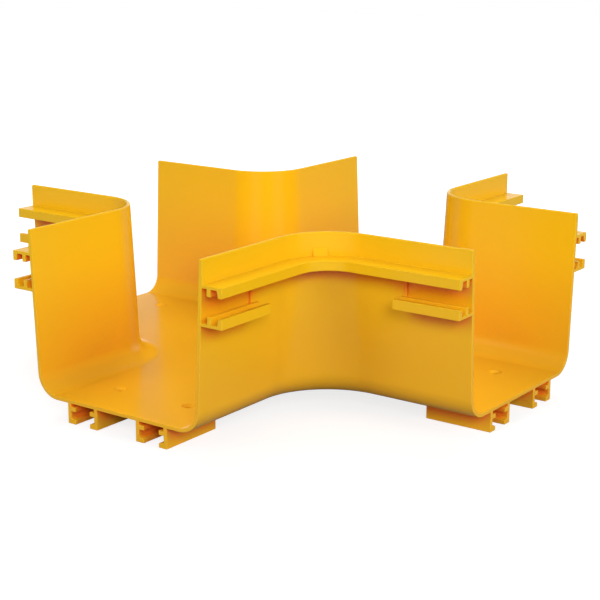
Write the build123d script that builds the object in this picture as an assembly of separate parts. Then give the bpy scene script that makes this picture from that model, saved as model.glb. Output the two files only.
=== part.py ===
"""Four-way cross for an open fibre raceway, moulded in one piece of yellow plastic.

Four equal arms meet on a flat floor. Each arm is an open U-shaped channel with leaning walls.
The four walls turn from one arm into the next round a wide bend, so that fibres laid through
the crossing keep their bend radius. T-slots outside both walls and under the floor take the
couplers at each open end, and a ledge round the top of each wall carries the cover.

The origin is at the middle of the feet's plane, with X and Y along the arms and Z up.
"""
import os
from math import atan2, cos, degrees, radians, sqrt, tan

from build123d import *

# Driving dimensions of the channel, in millimetres and degrees
arm_reach = 220.0        # from the centre to each open end
channel_width = 152.4    # inside, at the floor
channel_depth = 127.0    # from the floor up to the rim
wall = 3.0               # walls and floor alike
wall_lean = 2.5          # outward lean of the walls
bend_radius = 50.8       # inside bend between two arms, at the floor
bowl_radius = 16.0       # inside curve between floor and wall

# Driving dimensions of the coupler T-slots
slot_width = 30.0        # over the two legs of a slot
slot_mouth = 14.4        # between the two toes
slot_length = 56.0       # from the open end to the stop
toe_root = 4.6           # toe thickness at its leg
toe_tip = 3.4            # toe thickness at the mouth
lip = 3.6                # thickness of the lip half-way up each leg
lip_gap = 5.2            # clear height between lip and toe
foot_height = 16.0       # legs under the floor
foot_leg = 3.2           # thickness of those legs
foot_offset = 34.3       # from an arm's centre line to its two slots
rail_reach = 18.3        # side rails, from the wall at the slot's middle
rail_leg = 2.4           # thickness of the side rails' legs
rim_height = 18.2        # from the upper rail's top to the rim
stop_width = 2.4         # rib that ends each side slot
stop_rise = 2.0          # how far that rib stands off the wall

# Driving dimensions of the screw holes and the cover catches
hole_diameter = 6.6
hole_sink = 10.6         # diameter of the countersink
hole_sink_angle = 90.0
hole_setback = 42.0      # from the open end
catch_width = 11.0
catch_height = 6.5
catch_rise = 1.8         # proud of the wall at its foot
catch_rise_top = 0.5     # proud of the wall at its top

# Levels and widths that follow
floor_under = foot_height
floor_top = floor_under + wall
rim = floor_top + channel_depth
lean = tan(radians(wall_lean))
wall_across = wall / cos(radians(wall_lean))
bend_centre = channel_width / 2 + bend_radius
slot_half = slot_width / 2
mouth_half = slot_mouth / 2
rail_top = rim - rim_height
rail_centre = rail_top - slot_half
past = 60.0              # how far the cutting and trimming bodies run past the part


def inside_half(z):
    """Half of the channel's inside width at height z."""
    return channel_width / 2 + (z - floor_top) * lean


def outside_half(z):
    """Half of the width over the walls at height z."""
    return inside_half(z) + wall_across


rail_half = outside_half(rail_centre) + rail_reach


def cross_plan(half_width, reach, z):
    """Plus-shaped face at height z. All bends share their centres, whatever the width."""
    bars = Rectangle(2 * reach, 2 * half_width) + Rectangle(2 * half_width, 2 * reach)
    inner_corners = [v for v in bars.vertices() if abs(abs(v.X) - abs(v.Y)) < 0.001]
    return Pos(0, 0, z) * fillet(inner_corners, bend_centre - half_width)


def cross_block(half_low, half_high, reach, z_low, z_high):
    """Solid that grows from one plus-shaped face to another, with straight sloping sides."""
    slope = degrees(atan2(half_high - half_low, z_high - z_low))
    return extrude(cross_plan(half_low, reach, z_low), z_high - z_low, taper=-slope)


def bowl(half, z_low, z_high, radius):
    """Leaning cross-shaped block, longer than the part, with its side bottom edges rounded."""
    reach = arm_reach + past
    block = cross_block(half(z_low), half(z_high), reach, z_low, z_high)
    bottom = block.edges().group_by(Axis.Z)[0]
    sides = [e for e in bottom if max(abs(e.center().X), abs(e.center().Y)) < reach - 1]
    return fillet(sides, radius)


def channel_shell(void):
    """The bare channel: a bowl trimmed flat at the four open ends and hollowed."""
    outer = bowl(outside_half, floor_under, rim, bowl_radius + wall)
    trim = Box(2 * arm_reach, 2 * arm_reach, 3 * rim)
    return (outer & trim) - void


def rim_strip():
    """Upright outer face of the walls above the ledge, which the cover closes round."""
    return extrude(cross_plan(outside_half(rim), arm_reach, rail_top), rim_height)


def upper_rail():
    """Ledge round each wall, with a toe hanging from its edge and a lip half-way."""
    toe_end = rail_centre + mouth_half
    ledge_under = rail_top - rail_leg
    ledge = extrude(cross_plan(rail_half, arm_reach, toe_end), rail_top - toe_end)
    hollow = cross_block(rail_half - toe_tip, rail_half - toe_root, arm_reach, toe_end, ledge_under)
    lip_out = rail_half - toe_root - lip_gap
    lip_ring = cross_plan(lip_out, arm_reach, toe_end) - cross_plan(lip_out - lip, arm_reach, toe_end)
    return ledge - hollow + extrude(lip_ring, ledge_under - toe_end)


def half_slot(leg, base, reach):
    """Section of one leg of a T-slot, with its toe and lip.

    The first coordinate runs out from the wall or floor, from base to reach. The second runs
    across the slot from its centre line.
    """
    leg_face = slot_half - leg
    leg_bar = Pos((base + reach) / 2, leg_face + leg / 2) * Rectangle(reach - base, leg)
    toe = make_face(Polyline(
        (reach, mouth_half), (reach, leg_face), (reach - toe_root, leg_face), (reach - toe_tip, mouth_half),
        close=True,
    ))
    lip_middle = reach - toe_root - lip_gap - lip / 2
    lip_bar = Pos(lip_middle, (leg_face + mouth_half) / 2) * Rectangle(lip, leg_face - mouth_half)
    return leg_bar + toe + lip_bar


def lower_rail():
    """Lower leg of the side slot at the +X end, on the +Y wall."""
    base = inside_half(rail_centre - slot_half) + wall / 2
    section = half_slot(rail_leg, base, rail_half)
    end_plane = Plane(origin=(arm_reach, 0, rail_centre), x_dir=(0, 1, 0), z_dir=(-1, 0, 0))
    return extrude(end_plane * section, slot_length)


def side_stop():
    """Rib across the wall that ends the side slot at the +X end, on the +Y wall."""
    low = rail_centre - slot_half + rail_leg / 2
    high = rail_top - rail_leg / 2
    section = make_face(Polyline(
        (outside_half(low) - wall / 2, low), (outside_half(low) + stop_rise, low),
        (outside_half(high) + stop_rise, high), (outside_half(high) - wall / 2, high), close=True,
    ))
    stop_plane = Plane(origin=(arm_reach - slot_length, 0, 0), x_dir=(0, 1, 0), z_dir=(1, 0, 0))
    return extrude(stop_plane * section, stop_width)


def foot_slot():
    """T-slot under the floor at the +X end, on the +Y side."""
    half = half_slot(foot_leg, -wall / 2, foot_height)
    section = half + mirror(half, Plane.XZ)
    end_plane = Plane(origin=(arm_reach, foot_offset, floor_under), x_dir=(0, 0, -1), z_dir=(-1, 0, 0))
    return extrude(end_plane * section, slot_length)


def screw_hole():
    """Countersunk hole above the foot slot at the +X end, on the +Y side."""
    sink_depth = (hole_sink - hole_diameter) / 2 / tan(radians(hole_sink_angle / 2))
    shank = Cylinder(hole_diameter / 2, 3 * wall)
    sink = Pos(0, 0, -sink_depth / 2) * Cone(hole_diameter / 2, hole_sink / 2, sink_depth)
    return Pos(arm_reach - hole_setback, foot_offset, floor_top) * (shank + sink)


def cover_catch():
    """Wedge on the outside of the bend between +X and +Y, standing on the upper rail."""
    catch_top = rail_top + catch_height
    catch_base = rail_top - rail_leg / 2
    strip_bend = bend_centre - outside_half(rim)
    section = make_face(Polyline(
        (strip_bend + wall / 2, catch_base), (strip_bend - catch_rise, catch_base),
        (strip_bend - catch_rise, rail_top), (strip_bend - catch_rise_top, catch_top),
        (strip_bend + wall / 2, catch_top), close=True,
    ))
    towards_centre = (-1 / sqrt(2), -1 / sqrt(2), 0)
    across = (-1 / sqrt(2), 1 / sqrt(2), 0)
    bend_plane = Plane(origin=(bend_centre, bend_centre, 0), x_dir=towards_centre, z_dir=across)
    return extrude(bend_plane * section, catch_width / 2, both=True)


def on_both_sides(piece):
    """A piece made on the +Y side of the +X arm, and its mirror image on the -Y side."""
    return [piece, mirror(piece, Plane.XZ)]


def on_all_arms(pieces):
    """Pieces made on the +X arm, turned onto all four arms."""
    return [Rot(0, 0, 90 * turn) * piece for turn in range(4) for piece in pieces]


void = bowl(inside_half, floor_top, rim + past, bowl_radius)
fitting = channel_shell(void) + (upper_rail() + rim_strip() - void)
fitting += on_all_arms(on_both_sides(lower_rail()) + on_both_sides(side_stop()))
fitting += on_all_arms(on_both_sides(foot_slot()))
fitting += on_all_arms([cover_catch()])
fitting -= on_all_arms(on_both_sides(screw_hole()))

os.makedirs("parts", exist_ok=True)
export_step(fitting, "parts/cross_fitting.step")
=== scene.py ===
# %% [markdown]
# # A four-way cross of a fibre raceway, in glossy yellow plastic
#
# The real fitting is one injection moulding: a flat floor, four open arms with leaning walls, wide
# round bends between the arms, and slots and a ledge outside that couplers and a cover clip onto.
# The packed model gives its exact size and place. This lesson rebuilds the same form as a finer mesh
# with softly rounded edges, then gives it the plastic, the light and the camera.

import math

import bmesh
import bpy
from mathutils import Matrix, Vector


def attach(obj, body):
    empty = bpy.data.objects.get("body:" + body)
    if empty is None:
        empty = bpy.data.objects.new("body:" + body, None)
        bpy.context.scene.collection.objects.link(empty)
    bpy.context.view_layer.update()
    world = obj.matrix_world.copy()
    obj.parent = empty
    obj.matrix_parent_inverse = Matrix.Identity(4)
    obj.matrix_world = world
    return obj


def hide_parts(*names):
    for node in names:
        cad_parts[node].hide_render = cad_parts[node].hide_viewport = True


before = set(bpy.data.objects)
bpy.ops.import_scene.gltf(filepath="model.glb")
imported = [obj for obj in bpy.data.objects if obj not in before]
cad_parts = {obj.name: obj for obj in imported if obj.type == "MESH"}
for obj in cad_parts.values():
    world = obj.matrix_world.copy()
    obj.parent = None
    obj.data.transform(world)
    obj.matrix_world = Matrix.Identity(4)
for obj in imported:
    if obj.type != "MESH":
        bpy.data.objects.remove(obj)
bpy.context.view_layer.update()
scene = bpy.context.scene
scene.view_settings.view_transform = "Standard"

# %% [markdown]
# ## The section of an arm
#
# Everything about this moulding follows from one section: half of an arm, seen from its open end.
# A box model with bevels could give the walls, but the curve between floor and wall, the ledge and
# the hooked slots would each need their own tricks. Drawing the section once as a chain of points,
# `(across, up)` in millimetres, and sweeping it is how an extrusion designer would think of it.

# %% Sizes of the moulding, in millimetres
MM = 0.001
ARM_REACH = 220.0
FLOOR_UNDER, FLOOR_TOP, RIM = 16.0, 19.0, 146.0
WALL = FLOOR_TOP - FLOOR_UNDER
LEAN = math.radians(2.5)
CHANNEL_HALF = 76.2
BEND_CENTRE = 127.0
BOWL_RADIUS = 16.0
SLOT_HALF, MOUTH_HALF, SLOT_LENGTH = 15.0, 7.2, 56.0
TOE_ROOT, TOE_TIP, LIP, LIP_GAP = 4.6, 3.4, 3.6, 5.2
FOOT_LEG, FOOT_OFFSET = 3.2, 34.3
RAIL_LEG, RAIL_REACH = 2.4, 18.3
LEDGE = 127.8
STOP_WIDTH, STOP_RISE = 2.4, 2.0

RAIL_CENTRE = LEDGE - SLOT_HALF
LEDGE_UNDER = LEDGE - RAIL_LEG
UPPER_TOE_END = RAIL_CENTRE + MOUTH_HALF
LOWER_LEG_TOP = RAIL_CENTRE - SLOT_HALF + RAIL_LEG
LOWER_TOE_END = RAIL_CENTRE - MOUTH_HALF
SLOT_END = ARM_REACH - SLOT_LENGTH


def inside(up):
    """Half of the channel's inside width at a height."""
    return CHANNEL_HALF + (up - FLOOR_TOP) * math.tan(LEAN)


def outside(up):
    """Half of the width over the walls at a height."""
    return inside(up) + WALL / math.cos(LEAN)


RAIL_HALF = outside(RAIL_CENTRE) + RAIL_REACH
LIP_OUT = RAIL_HALF - TOE_ROOT - LIP_GAP
LIP_IN = LIP_OUT - LIP
print(f"rails reach {RAIL_HALF:.1f} mm from the arm's centre line")

# %% [markdown]
# ## Chains of points
#
# The chain starts on top of the floor, climbs the inside of the wall, crosses the rim and comes down
# outside over the ledge, the slot and the curved bottom. The curve between floor and wall is a true
# arc, and the inner and outer arcs share their centre, so the wall keeps its thickness round it.

# %% The plain chain, and the parts that only the arm's end has
BOWL_STEPS = 14
FLOOR_SEAM = FOOT_OFFSET + SLOT_HALF - FOOT_LEG


def bowl_arc(radius):
    """Arc from the floor up to the leaning wall."""
    centre_up = FLOOR_TOP + BOWL_RADIUS
    centre_across = inside(centre_up) - BOWL_RADIUS / math.cos(LEAN)
    turns = [-math.pi / 2 + (math.pi / 2 - LEAN) * k / BOWL_STEPS for k in range(BOWL_STEPS + 1)]
    return [(centre_across + radius * math.cos(t), centre_up + radius * math.sin(t)) for t in turns]


inner_wall = [(FLOOR_SEAM, FLOOR_TOP)] + bowl_arc(BOWL_RADIUS) + [(inside(RIM), RIM)]
ledge_and_toe = [
    (outside(RIM), RIM), (outside(RIM), LEDGE), (RAIL_HALF, LEDGE), (RAIL_HALF, UPPER_TOE_END),
    (RAIL_HALF - TOE_TIP, UPPER_TOE_END), (RAIL_HALF - TOE_ROOT, LEDGE_UNDER),
    (LIP_OUT, LEDGE_UNDER), (LIP_OUT, UPPER_TOE_END), (LIP_IN, UPPER_TOE_END), (LIP_IN, LEDGE_UNDER),
]
stop_high = (outside(LEDGE_UNDER) + STOP_RISE, LEDGE_UNDER)
wall_high = (outside(LEDGE_UNDER), LEDGE_UNDER)
wall_low = (outside(LOWER_LEG_TOP), LOWER_LEG_TOP)
stop_low = (outside(LOWER_LEG_TOP) + STOP_RISE, LOWER_LEG_TOP)
leg_bottom = LOWER_LEG_TOP - RAIL_LEG
lower_rail = [
    (LIP_IN, LOWER_LEG_TOP), (LIP_IN, LOWER_TOE_END), (LIP_OUT, LOWER_TOE_END), (LIP_OUT, LOWER_LEG_TOP),
    (RAIL_HALF - TOE_ROOT, LOWER_LEG_TOP), (RAIL_HALF - TOE_TIP, LOWER_TOE_END),
    (RAIL_HALF, LOWER_TOE_END), (RAIL_HALF, leg_bottom),
]
wall_foot = (outside(leg_bottom), leg_bottom)
outer_bowl = bowl_arc(BOWL_RADIUS + WALL)[::-1]


def foot_leg(side):
    """Leg, lip and toe of a foot slot, from outside in, on its outer (+1) or inner (-1) side."""
    face, mouth = SLOT_HALF - FOOT_LEG, MOUTH_HALF
    lip_low = TOE_ROOT + LIP_GAP
    lip_high = lip_low + LIP
    hook = [
        (SLOT_HALF, FLOOR_UNDER), (SLOT_HALF, 0), (mouth, 0), (mouth, TOE_TIP), (face, TOE_ROOT),
        (face, lip_low), (mouth, lip_low), (mouth, lip_high), (face, lip_high), (face, FLOOR_UNDER),
    ]
    points = [(FOOT_OFFSET + side * across, up) for across, up in hook]
    return points if side > 0 else points[::-1]


outer_foot, inner_foot = foot_leg(1), foot_leg(-1)
outer_seam, inner_seam = ([foot[0], foot[-1]] for foot in (outer_foot, inner_foot))
middle_top, middle_under = (0, FLOOR_TOP), (0, FLOOR_UNDER)
bend_chain = inner_wall + ledge_and_toe + [stop_high, wall_high, wall_foot] + outer_bowl + outer_seam
arm_chain = [middle_top] + bend_chain + inner_seam + [middle_under]
down_to_slot = [middle_top] + inner_wall + ledge_and_toe
below_slot = lower_rail + [wall_foot] + outer_bowl + outer_foot + inner_foot + [middle_under]
stop_chain = down_to_slot + [stop_high, stop_low] + below_slot
slot_chain = down_to_slot + [stop_high, wall_high, wall_low, stop_low] + below_slot
print("points in the chains:", len(bend_chain), len(arm_chain), len(stop_chain), len(slot_chain))

# %% [markdown]
# ## One eighth of the fitting
#
# The four arms are equal and each arm is the same on both sides, so an eighth is enough: one wall
# from the open end to the middle of its bend. Along the arm the chain moves straight; in the bend it
# turns about an upright axis that every height shares. Where the rails, feet and stop begin, a flat
# cap closes the step. Mirroring and turning this eighth then gives the whole, with no seam to hide.

# %% Sweep the chains into an eighth
BEND_STEPS = 14


def along_arm(x):
    """Placer for points of a section that stands across the arm at x."""
    return lambda point: (x, point[0], point[1])


def round_bend(share):
    """Placer for points of a section turned into the bend. A share of 1 is the bend's middle."""
    turn = math.pi / 4 * share

    def place(point):
        radius = BEND_CENTRE - point[0]
        return (BEND_CENTRE - radius * math.sin(turn), BEND_CENTRE - radius * math.cos(turn), point[1])

    return place


class Sweeper:
    """Collects faces between placed chains, in millimetres."""

    def __init__(self):
        self.mesh = bmesh.new()

    def face(self, places):
        """One face through places in millimetres."""
        self.mesh.faces.new([self.mesh.verts.new([c * MM for c in p]) for p in places])

    def span(self, chain, start, end):
        """Quads along a chain between two placers."""
        for a, b in zip(chain, chain[1:]):
            self.face([start(a), start(b), end(b), end(a)])

    def cap(self, outline, placer):
        """Flat face that closes a step."""
        self.face([placer(p) for p in outline])


eighth = Sweeper()
open_end, slot_end = along_arm(ARM_REACH), along_arm(SLOT_END)
stop_face, bend_start = along_arm(SLOT_END + STOP_WIDTH), along_arm(BEND_CENTRE)
eighth.cap(slot_chain, open_end)
eighth.span(slot_chain, open_end, stop_face)
eighth.cap([stop_high, stop_low, wall_low, wall_high], stop_face)
eighth.span(stop_chain, stop_face, slot_end)
eighth.cap([stop_high, stop_low] + lower_rail + [wall_foot, wall_high], slot_end)
eighth.cap(outer_foot, slot_end)
eighth.cap(inner_foot, slot_end)
eighth.span(arm_chain, slot_end, bend_start)
sections = [round_bend(k / BEND_STEPS) for k in range(BEND_STEPS + 1)]
for start, end in zip(sections, sections[1:]):
    eighth.span(bend_chain, start, end)
print("faces in the eighth:", len(eighth.mesh.faces))

# %% [markdown]
# ## Eight eighths and the middle of the floor
#
# The bends leave a four-pointed gap in the floor's middle. Its outline is made of points that the
# sweep already has, so two flat faces close it, one on top and one underneath. Welding by distance
# then joins everything into one closed skin, and recalculated normals face outward everywhere.

# %% Mirror, turn and close
WELD_DISTANCE = 0.02
whole = bmesh.new()
eighth_data = bpy.data.meshes.new("eighth")
eighth.mesh.to_mesh(eighth_data)
eighth.mesh.free()
across_diagonal = Matrix(((0, 1, 0, 0), (1, 0, 0, 0), (0, 0, 1, 0), (0, 0, 0, 1)))
for quarter in range(4):
    for flip in (Matrix.Identity(4), across_diagonal):
        turned = eighth_data.copy()
        turned.transform(Matrix.Rotation(quarter * math.pi / 2, 4, "Z") @ flip)
        whole.from_mesh(turned)
        bpy.data.meshes.remove(turned)

seams = {FLOOR_TOP: [0.0], FLOOR_UNDER: [across for across, _ in inner_seam] + [0.0]}
for level, across_arm in seams.items():
    quarter_outline = [Vector(section((FLOOR_SEAM, level))) * MM for section in sections]
    quarter_outline += [Vector((p.y, p.x, p.z)) for p in quarter_outline[-2::-1]]
    arm_edge = sorted({a * side for a in across_arm for side in (1, -1)}, reverse=True)
    quarter_outline += [Vector((a, BEND_CENTRE, level)) * MM for a in arm_edge]
    outline = [Matrix.Rotation(q * math.pi / 2, 3, "Z") @ p for q in range(4) for p in quarter_outline]
    whole.faces.new([whole.verts.new(p) for p in outline])

bmesh.ops.remove_doubles(whole, verts=whole.verts, dist=WELD_DISTANCE * MM)
bmesh.ops.recalc_face_normals(whole, faces=whole.faces)
open_edges = [e for e in whole.edges if len(e.link_faces) != 2]
fitting_data = bpy.data.meshes.new("cross_moulding")
whole.to_mesh(fitting_data)
print("faces:", len(whole.faces), "edges not shared by two faces:", len(open_edges), "volume cm3:",
      round(whole.calc_volume() * 1e6, 1))
whole.free()
bpy.data.meshes.remove(eighth_data)
moulding = bpy.data.objects.new("cross_moulding", fitting_data)
scene.collection.objects.link(moulding)

# %% [markdown]
# ## Soft edges, screw holes and catches
#
# No moulded edge is knife-sharp: a small radius catches the light as a thin bright line along the
# rims. Rounding the chains themselves would do it along the arms but not across their ends. A Bevel
# modifier driven by edge weights rounds every real edge and leaves the curved walls alone, and a
# full weight on the rim makes it rounder than the rest.
#
# The countersunk holes and the cover catches come after it, as Booleans, so that their many short
# edges can't hold the bevel back. The result is baked into the mesh, and the helpers are deleted.

# %% Bodies for the holes and the catches
HOLE_RADIUS, SINK_RADIUS, HOLE_SETBACK = 3.3, 5.3, 42.0
CATCH_WIDTH, CATCH_HEIGHT, CATCH_RISE, CATCH_RISE_TOP = 11.0, 6.5, 1.8, 0.5
HOLE_STEPS, PAST_FLOOR = 40, 2


def turned_pin(profile, x, y):
    """Closed body of revolution about an upright axis at (x, y), from (radius, up) points."""
    body = bmesh.new()
    turns = [2 * math.pi * k / HOLE_STEPS for k in range(HOLE_STEPS)]
    rings = []
    for radius, up in profile:
        ring = [(x + radius * math.cos(t), y + radius * math.sin(t), up) for t in turns]
        rings.append([body.verts.new([c * MM for c in point]) for point in ring])
    for low, high in zip(rings, rings[1:]):
        for k in range(HOLE_STEPS):
            n = (k + 1) % HOLE_STEPS
            body.faces.new((low[k], low[n], high[n], high[k]))
    body.faces.new(rings[0][::-1])
    body.faces.new(rings[-1])
    return body


def wedge(section, origin, out, across, width):
    """Closed block: a section of (out, up) points, with half of the width to each side of it."""
    body = bmesh.new()
    sides = []
    for offset in (-width / 2, width / 2):
        spot = [(Vector(origin) + Vector(out) * a + Vector(across) * offset + Vector((0, 0, up))) * MM
                for a, up in section]
        sides.append([body.verts.new(p) for p in spot])
    body.faces.new(sides[0])
    body.faces.new(sides[1][::-1])
    for k in range(len(section)):
        n = (k + 1) % len(section)
        body.faces.new((sides[0][k], sides[1][k], sides[1][n], sides[0][n]))
    bmesh.ops.recalc_face_normals(body, faces=body.faces)
    return body


def on_four_arms(bodies, name):
    """Object with the bodies of one arm turned onto all four."""
    joined = bmesh.new()
    for body in bodies:
        data = bpy.data.meshes.new(name)
        body.to_mesh(data)
        body.free()
        for quarter in range(4):
            copy = data.copy()
            copy.transform(Matrix.Rotation(quarter * math.pi / 2, 4, "Z"))
            joined.from_mesh(copy)
            bpy.data.meshes.remove(copy)
        bpy.data.meshes.remove(data)
    bmesh.ops.recalc_face_normals(joined, faces=joined.faces)
    data = bpy.data.meshes.new(name)
    joined.to_mesh(data)
    joined.free()
    helper = bpy.data.objects.new(name, data)
    scene.collection.objects.link(helper)
    return helper


sink_start = FLOOR_TOP - (SINK_RADIUS - HOLE_RADIUS)
hole_profile = [(HOLE_RADIUS, FLOOR_UNDER - PAST_FLOOR), (HOLE_RADIUS, sink_start),
                (SINK_RADIUS, FLOOR_TOP), (SINK_RADIUS, FLOOR_TOP + PAST_FLOOR)]
hole_places = [(ARM_REACH - HOLE_SETBACK, side * FOOT_OFFSET) for side in (1, -1)]
pins = on_four_arms([turned_pin(hole_profile, x, y) for x, y in hole_places], "screw_pins")
strip_bend = BEND_CENTRE - outside(RIM)
catch_base, catch_top = LEDGE - RAIL_LEG / 2, LEDGE + CATCH_HEIGHT
catch_section = [
    (strip_bend + WALL / 2, catch_base), (strip_bend - CATCH_RISE, catch_base),
    (strip_bend - CATCH_RISE, LEDGE), (strip_bend - CATCH_RISE_TOP, catch_top),
    (strip_bend + WALL / 2, catch_top),
]
HALF_ROOT = math.sqrt(0.5)
to_middle, across_bend = (-HALF_ROOT, -HALF_ROOT, 0), (-HALF_ROOT, HALF_ROOT, 0)
catch = wedge(catch_section, (BEND_CENTRE, BEND_CENTRE, 0), to_middle, across_bend, CATCH_WIDTH)
catches = on_four_arms([catch], "cover_catches")
print("helpers:", len(pins.data.polygons), "hole faces,", len(catches.data.polygons), "catch faces")

# %% Weigh the edges for rounding
EDGE_RADIUS, RIM_RADIUS, ROUND_SEGMENTS = 0.45, 1.1, 3
REAL_EDGE, RIM_SLACK = math.radians(30), 0.01
rounded = bmesh.new()
rounded.from_mesh(fitting_data)
share = rounded.edges.layers.float.new("bevel_weight_edge")
for edge in rounded.edges:
    if edge.calc_face_angle(0) > REAL_EDGE:
        on_rim = all(v.co.z > (RIM - RIM_SLACK) * MM for v in edge.verts)
        edge[share] = 1 if on_rim else EDGE_RADIUS / RIM_RADIUS
print("edges to round:", sum(edge[share] > 0 for edge in rounded.edges))
rounded.to_mesh(fitting_data)
rounded.free()

# %% Round, join, cut and bake
SHARP_FROM, LARGE_FACES_FIRST = math.radians(38), 80
bevel = moulding.modifiers.new("soft_edges", "BEVEL")
bevel.width, bevel.segments, bevel.limit_method = RIM_RADIUS * MM, ROUND_SEGMENTS, "WEIGHT"
bevel.use_clamp_overlap = False
for helper, operation in ((catches, "UNION"), (pins, "DIFFERENCE")):
    cut = moulding.modifiers.new(helper.name, "BOOLEAN")
    cut.operation, cut.object, cut.solver = operation, helper, "EXACT"
baked = bpy.data.meshes.new_from_object(moulding.evaluated_get(bpy.context.evaluated_depsgraph_get()))
moulding.modifiers.clear()
moulding.data = baked
for helper in (pins, catches):
    bpy.data.objects.remove(helper)
baked.polygons.foreach_set("use_smooth", [True] * len(baked.polygons))
baked.set_sharp_from_angle(angle=SHARP_FROM)
weighted = moulding.modifiers.new("flat_faces_stay_flat", "WEIGHTED_NORMAL")
weighted.keep_sharp, weighted.weight = True, LARGE_FACES_FIRST
print("faces after rounding:", len(baked.polygons))

# %% [markdown]
# ## The plastic
#
# The moulding is a glossy signal yellow. Light soaks a little way into such plastic and comes out
# redder, and the walls light each other, so in light it isn't one colour all over. It looks clearest
# at the rim, deeper towards the floor, amber low on the walls that face each other, and a strong
# orange in the slots and under the ledge.
#
# Subsurface scattering could give this, but the exported model would lose it. Here that light and
# shade is painted into the base colour instead: a painted shade that deepens towards the floor, and
# ambient-occlusion nodes that find the places that see little open space and paint amber and orange
# shade, with a red glow, there. Two of them look about as far as a rail is deep, and one looks as far
# as the channel is wide. The rest is what plastic shows up close: slightly uneven pigment, a sheen
# that varies where the melt met the mould, and a fine grain with a little waviness in the flat walls.

# %% A small language for shader nodes
class Socket:
    """A node's output. Arithmetic on it adds Math nodes."""

    def __init__(self, tree, output):
        self.tree, self.output = tree, output

    @staticmethod
    def node(tree, kind, settings=None, sockets=None, output=0):
        """Adds a node, sets its settings, then its sockets' values or links, and wraps one output."""
        made = tree.nodes.new(kind)
        for name, value in (settings or {}).items():
            setattr(made, name, value)
        for name, value in (sockets or {}).items():
            if isinstance(value, Socket):
                tree.links.new(value.output, made.inputs[name])
            else:
                made.inputs[name].default_value = value
        return Socket(tree, made.outputs[output]) if made.outputs else made

    def math(self, operation, first, second):
        """Math node on two values or links."""
        return Socket.node(self.tree, "ShaderNodeMath", {"operation": operation}, {0: first, 1: second})

    def __add__(self, other):
        return self.math("ADD", self, other)

    def __radd__(self, other):
        return self.math("ADD", other, self)

    def __sub__(self, other):
        return self.math("SUBTRACT", self, other)

    def __rsub__(self, other):
        return self.math("SUBTRACT", other, self)

    def __mul__(self, other):
        return self.math("MULTIPLY", self, other)

    def __rmul__(self, other):
        return self.math("MULTIPLY", other, self)


print("a socket knows:", [name for name in vars(Socket) if name.endswith(("add__", "sub__", "mul__"))])


# %% Fades, blends and new materials
def fade(value, start, end, low=0, high=1):
    """Smooth step from low to high, as a value goes from start to end."""
    return Socket.node(value.tree, "ShaderNodeMapRange", {"interpolation_type": "SMOOTHSTEP"},
                       {"Value": value, "From Min": start, "From Max": end, "To Min": low, "To Max": high})


def blend(share, first, second):
    """Colour between two colours. A Mix node's sockets 6 and 7 are its colours."""
    return Socket.node(share.tree, "ShaderNodeMix", {"data_type": "RGBA"},
                       {"Factor": share, 6: first, 7: second}, 2)


def either(share, first, second):
    """Shader between two shaders."""
    return Socket.node(share.tree, "ShaderNodeMixShader", None, {0: share, 1: first, 2: second})


def new_finish(name):
    """Empty material with its node tree."""
    finish = bpy.data.materials.new(name)
    finish.use_nodes = True
    finish.node_tree.nodes.clear()
    return finish, finish.node_tree


plastic, tree = new_finish("yellow_plastic")
print("new material:", plastic.name)

# %% Unevenness of the plastic
spot = Socket.node(tree, "ShaderNodeTexCoord", output="Object")


def noise(scale, detail, roughness=0.5):
    """Noise over the moulding. The scale is in features per metre."""
    return Socket.node(tree, "ShaderNodeTexNoise", None,
                       {"Vector": spot, "Scale": scale, "Detail": detail, "Roughness": roughness}, "Fac")


clouds = noise(11, 3)
pigment = noise(1300, 2)
flow = noise(28, 4, 0.6)
grain = noise(2600, 3, 0.6)
waves = noise(16, 1)
print("nodes so far:", len(tree.nodes))

# %% Places that see little open space, where shade is painted
SIGHT_SAMPLES = 8
RAIL_SIGHT, CHANNEL_SIGHT = 0.021, 0.2  # metres
OVERHANG_SHADE_FADE, RECESS_SHADE_FADE, NOOK_SHADE_FADE = (0.02, 0.38), (0.72, 1.0), (0.37, 0.55)  # open shares


def open_share(sight, **normal):
    """Share of the space above a surface that is open for so many metres."""
    return Socket.node(tree, "ShaderNodeAmbientOcclusion", {"samples": SIGHT_SAMPLES, "only_local": True},
                       {"Distance": sight, **normal}, "AO")


upright = Socket.node(tree, "ShaderNodeCombineXYZ", None, {"Z": 1})
# Painted shade under overhangs and in recesses, which see little open space above or around them within a
# rail's depth.
overhang_shade = fade(open_share(RAIL_SIGHT, Normal=upright), *OVERHANG_SHADE_FADE, 1, 0)
recess_shade = fade(open_share(RAIL_SIGHT), *RECESS_SHADE_FADE, 1, 0)
# Painted shade low on the walls that face each other, where little open space is seen across the channel.
nook_shade = fade(open_share(CHANNEL_SIGHT), *NOOK_SHADE_FADE, 1, 0)
print("nodes so far:", len(tree.nodes))

# %% Colour of the plastic, with painted shade by height and in hollows
YELLOW = (0.955, 0.56, 0.008, 1)
YELLOW_LOW_SHADE = (0.94, 0.475, 0.018, 1)
AMBER_SHADE = (0.83, 0.345, 0.022, 1)
ORANGE_SHADE_GLOW = (0.99, 0.19, 0.02, 1)
SHADED_BELOW, UNSHADED_ABOVE = 0.045, 0.135  # metres above the ground
# Painted shade by height: the colour deepens towards the floor and clears towards the rim, with random
# pigment tone mixed in.
level = Socket.node(tree, "ShaderNodeSeparateXYZ", None, {0: spot}, "Z")
rise = fade(level, SHADED_BELOW, UNSHADED_ABOVE)
skin = blend(rise * 0.8 + clouds * 0.12 + pigment * 0.08, YELLOW_LOW_SHADE, YELLOW)
# Painted shade: amber where the walls face each other, kept out of the recesses.
shaded_facing_walls = blend(nook_shade * (1 - recess_shade), skin, AMBER_SHADE)
# Painted shade with a painted red glow: strong orange under the ledge, under the rails and in the slots.
colour = blend(overhang_shade * recess_shade, shaded_facing_walls, ORANGE_SHADE_GLOW)
print("nodes so far:", len(tree.nodes))

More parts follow.
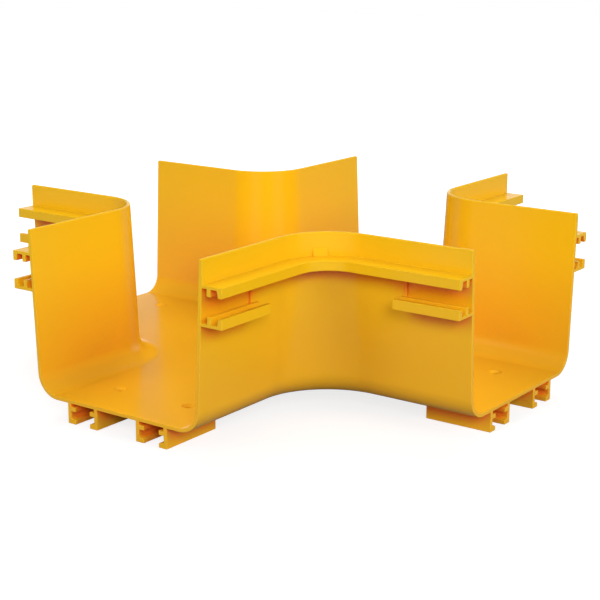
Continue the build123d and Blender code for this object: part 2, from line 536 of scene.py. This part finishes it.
# %% Gloss and relief of the plastic
MEAN_ROUGHNESS, RELIEF_DEPTH, PLASTIC_IOR = 0.21, 0.0002, 1.47
sheen = MEAN_ROUGHNESS + (flow - 0.5) * 0.05 + (pigment - 0.5) * 0.04
height = grain * 0.003 + waves * 0.2
relief = Socket.node(tree, "ShaderNodeBump", None,
                     {"Strength": 1.0, "Distance": RELIEF_DEPTH, "Height": height})
body = Socket.node(tree, "ShaderNodeBsdfPrincipled", None,
                   {"Base Color": colour, "Roughness": sheen, "Normal": relief, "IOR": PLASTIC_IOR})
Socket.node(tree, "ShaderNodeOutputMaterial", None, {"Surface": body})
baked.materials.clear()
baked.materials.append(plastic)
print("plastic nodes:", len(tree.nodes))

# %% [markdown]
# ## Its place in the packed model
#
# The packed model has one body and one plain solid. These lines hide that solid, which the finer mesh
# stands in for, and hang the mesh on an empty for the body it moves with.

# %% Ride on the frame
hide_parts("cross_fitting")
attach(moulding, "root")
print(moulding.name, "has", len(baked.polygons), "faces and", len(baked.materials), "material")

# %% [markdown]
# ## Camera
#
# The view was worked out from the photograph's own edges: the lines of the rims, the feet and the
# wall ends fix the direction, the distance and the lens together. A long lens from about a metre
# and a quarter keeps the perspective as gentle as it is there.

# %% Place the camera
AZIMUTH, ELEVATION, ROLL = (math.radians(a) for a in (35.873, 14.562, 0.169))
DISTANCE, SIDE_STEP, AIM_HEIGHT = 1.244381, 0.006852, 0.058322
FOCAL_PIXELS, IMAGE_PIXELS, SENSOR = 1465.709, 600, 36.0
back = Vector((math.sin(AZIMUTH) * math.cos(ELEVATION), -math.cos(AZIMUTH) * math.cos(ELEVATION),
               math.sin(ELEVATION)))
right = Vector((math.cos(AZIMUTH), math.sin(AZIMUTH), 0))
up = back.cross(right)
aim = Vector((0, 0, AIM_HEIGHT)) + right * SIDE_STEP
axes = (right * math.cos(ROLL) + up * math.sin(ROLL), up * math.cos(ROLL) - right * math.sin(ROLL), back)
lens = bpy.data.cameras.new("photo_camera")
lens.sensor_width, lens.lens = SENSOR, FOCAL_PIXELS / IMAGE_PIXELS * SENSOR
camera = bpy.data.objects.new("photo_camera", lens)
camera.matrix_world = Matrix.Translation(aim + back * DISTANCE) @ Matrix(axes).transposed().to_4x4()
scene.collection.objects.link(camera)
scene.camera = camera
front = Vector((back.x, back.y, 0)).normalized()
print(f"lens {lens.lens:.1f} mm at {DISTANCE:.2f} m")

# %% [markdown]
# ## Floor and backdrop
#
# The photograph is a catalogue shot on pure white. The floor is a plain diffuse plane that keeps the
# object's shadow. For the camera alone it also glows, so it reaches white without any more light
# falling on the fitting. The backdrop is white to the camera too. In a reflection only its lower part
# behind the object shows, which is what turns the far end of the channel's floor pale.

# %% The floor
HALF_FLOOR = 4.0
corners = [(-HALF_FLOOR, -HALF_FLOOR, 0), (HALF_FLOOR, -HALF_FLOOR, 0), (HALF_FLOOR, HALF_FLOOR, 0),
           (-HALF_FLOOR, HALF_FLOOR, 0)]
floor_data = bpy.data.meshes.new("floor")
floor_data.from_pydata(corners, [], [(0, 1, 2, 3)])
floor = bpy.data.objects.new("floor", floor_data)
scene.collection.objects.link(floor)
print("floor:", 2 * HALF_FLOOR, "m wide")

# %% The floor's finish
NEAR_RADIUS, FAR_RADIUS = 0.3, 0.75  # metres
MATT_GREY, GLOW_NEAR, GLOW_FAR = ((level, level, level, 1) for level in (0.32, 0.79, 1))
pale, tree = new_finish("pale_floor")
to_camera = Socket.node(tree, "ShaderNodeLightPath", output="Is Camera Ray")
spot = Socket.node(tree, "ShaderNodeTexCoord", output="Object")
far = Socket.node(tree, "ShaderNodeVectorMath", {"operation": "LENGTH"}, {0: spot}, "Value")
white = blend(fade(far, NEAR_RADIUS, FAR_RADIUS), GLOW_NEAR, GLOW_FAR)
matt = Socket.node(tree, "ShaderNodeBsdfDiffuse", None, {"Color": MATT_GREY})
glow = Socket.node(tree, "ShaderNodeEmission", None, {"Color": white, "Strength": 1.0})
lit = Socket.node(tree, "ShaderNodeAddShader", None, {0: matt, 1: glow})
Socket.node(tree, "ShaderNodeOutputMaterial", None, {"Surface": either(to_camera, matt, lit)})
floor_data.materials.append(pale)
print("floor nodes:", len(tree.nodes))

# %% The backdrop
SHADOW_FILL, MIRRORED_ROOM, WHITE_LEVEL = 0.28, 0.05, 1
BAND_FADES, BAND_ENDS = 0.238, 0.262  # sines of a direction's height angle
world = bpy.data.worlds.new("studio")
scene.world = world
world.use_nodes = True
tree = world.node_tree
tree.nodes.clear()


def background(strength):
    """White surroundings of a strength."""
    return Socket.node(tree, "ShaderNodeBackground", None, {"Color": (1, 1, 1, 1), "Strength": strength})


to_camera = Socket.node(tree, "ShaderNodeLightPath", output="Is Camera Ray")
in_mirror = Socket.node(tree, "ShaderNodeLightPath", output="Is Glossy Ray")
direction = Socket.node(tree, "ShaderNodeTexCoord", output="Generated")
behind = Socket.node(tree, "ShaderNodeVectorMath", {"operation": "DOT_PRODUCT"},
                     {0: direction, 1: -front}, "Value")
steepness = Socket.node(tree, "ShaderNodeSeparateXYZ", None, {0: direction}, "Z")
low = Socket.node(tree, "ShaderNodeMapRange", None,
                  {"Value": steepness, "From Min": BAND_FADES, "From Max": BAND_ENDS,
                   "To Min": 1, "To Max": 0})
band = Socket.node(tree, "ShaderNodeMath", {"operation": "MULTIPLY", "use_clamp": True},
                   {0: behind, 1: low})
mirrored = either(band, background(MIRRORED_ROOM), background(WHITE_LEVEL))
around = either(in_mirror, background(SHADOW_FILL), mirrored)
sky = either(to_camera, around, background(WHITE_LEVEL))
Socket.node(tree, "ShaderNodeOutputWorld", None, {"Surface": sky})
print("backdrop nodes:", len(tree.nodes))

# %% [markdown]
# ## Softboxes
#
# Both walls of the channel are about equally bright in the photograph, and the strip above the ledge
# is the brightest part. A sun lamp would light it as evenly, but its shadows would be hard. Large area
# lamps five metres off are soft, and so far away that both ends of the fitting get the same light.
#
# One stands on each side of the camera and one just above it. A high one behind lights the ledges and
# the floor, and a low one behind keeps the far side from going dark. They are hidden from
# reflections, so that no lamp shows as a streak in the gloss. Each is placed by its turn from the
# camera and its height angle.

# %% Place the softboxes
LAMP_DISTANCE, AIM = 5.0, Vector((0, 0, 0.08))


def softbox(name, turn, rise, size, power):
    """Square area lamp, turned to the right of the camera and raised, in degrees, metres and watts."""
    turn, rise = math.radians(turn), math.radians(rise)
    flat = front * math.cos(turn) + right * math.sin(turn)
    towards = flat * math.cos(rise) + Vector((0, 0, math.sin(rise)))
    lamp = bpy.data.lights.new(name, "AREA")
    lamp.shape, lamp.size, lamp.energy = "SQUARE", size, power
    box = bpy.data.objects.new(name, lamp)
    box.location = AIM + towards * LAMP_DISTANCE
    box.rotation_euler = (-towards).to_track_quat("-Z", "Y").to_euler()
    scene.collection.objects.link(box)
    return box


boxes = [
    softbox("right_box", 52, 27, 2.4, 76),
    softbox("left_box", -54, 27, 2.4, 58),
    softbox("front_box", 9, 24, 1.6, 104),
    softbox("back_box", 180, 58, 3.0, 106),
    softbox("low_back_box", 180, 20, 3.0, 46),
]
for box in boxes:
    box.visible_glossy = False
print("softboxes:", [box.name for box in boxes])

# %% [markdown]
# ## Sizes
#
# The dressed part has to fill the same box as the packed one. A mesh that is a millimetre off still
# looks right in a render, so only measuring both would show it. This script doesn't measure them.
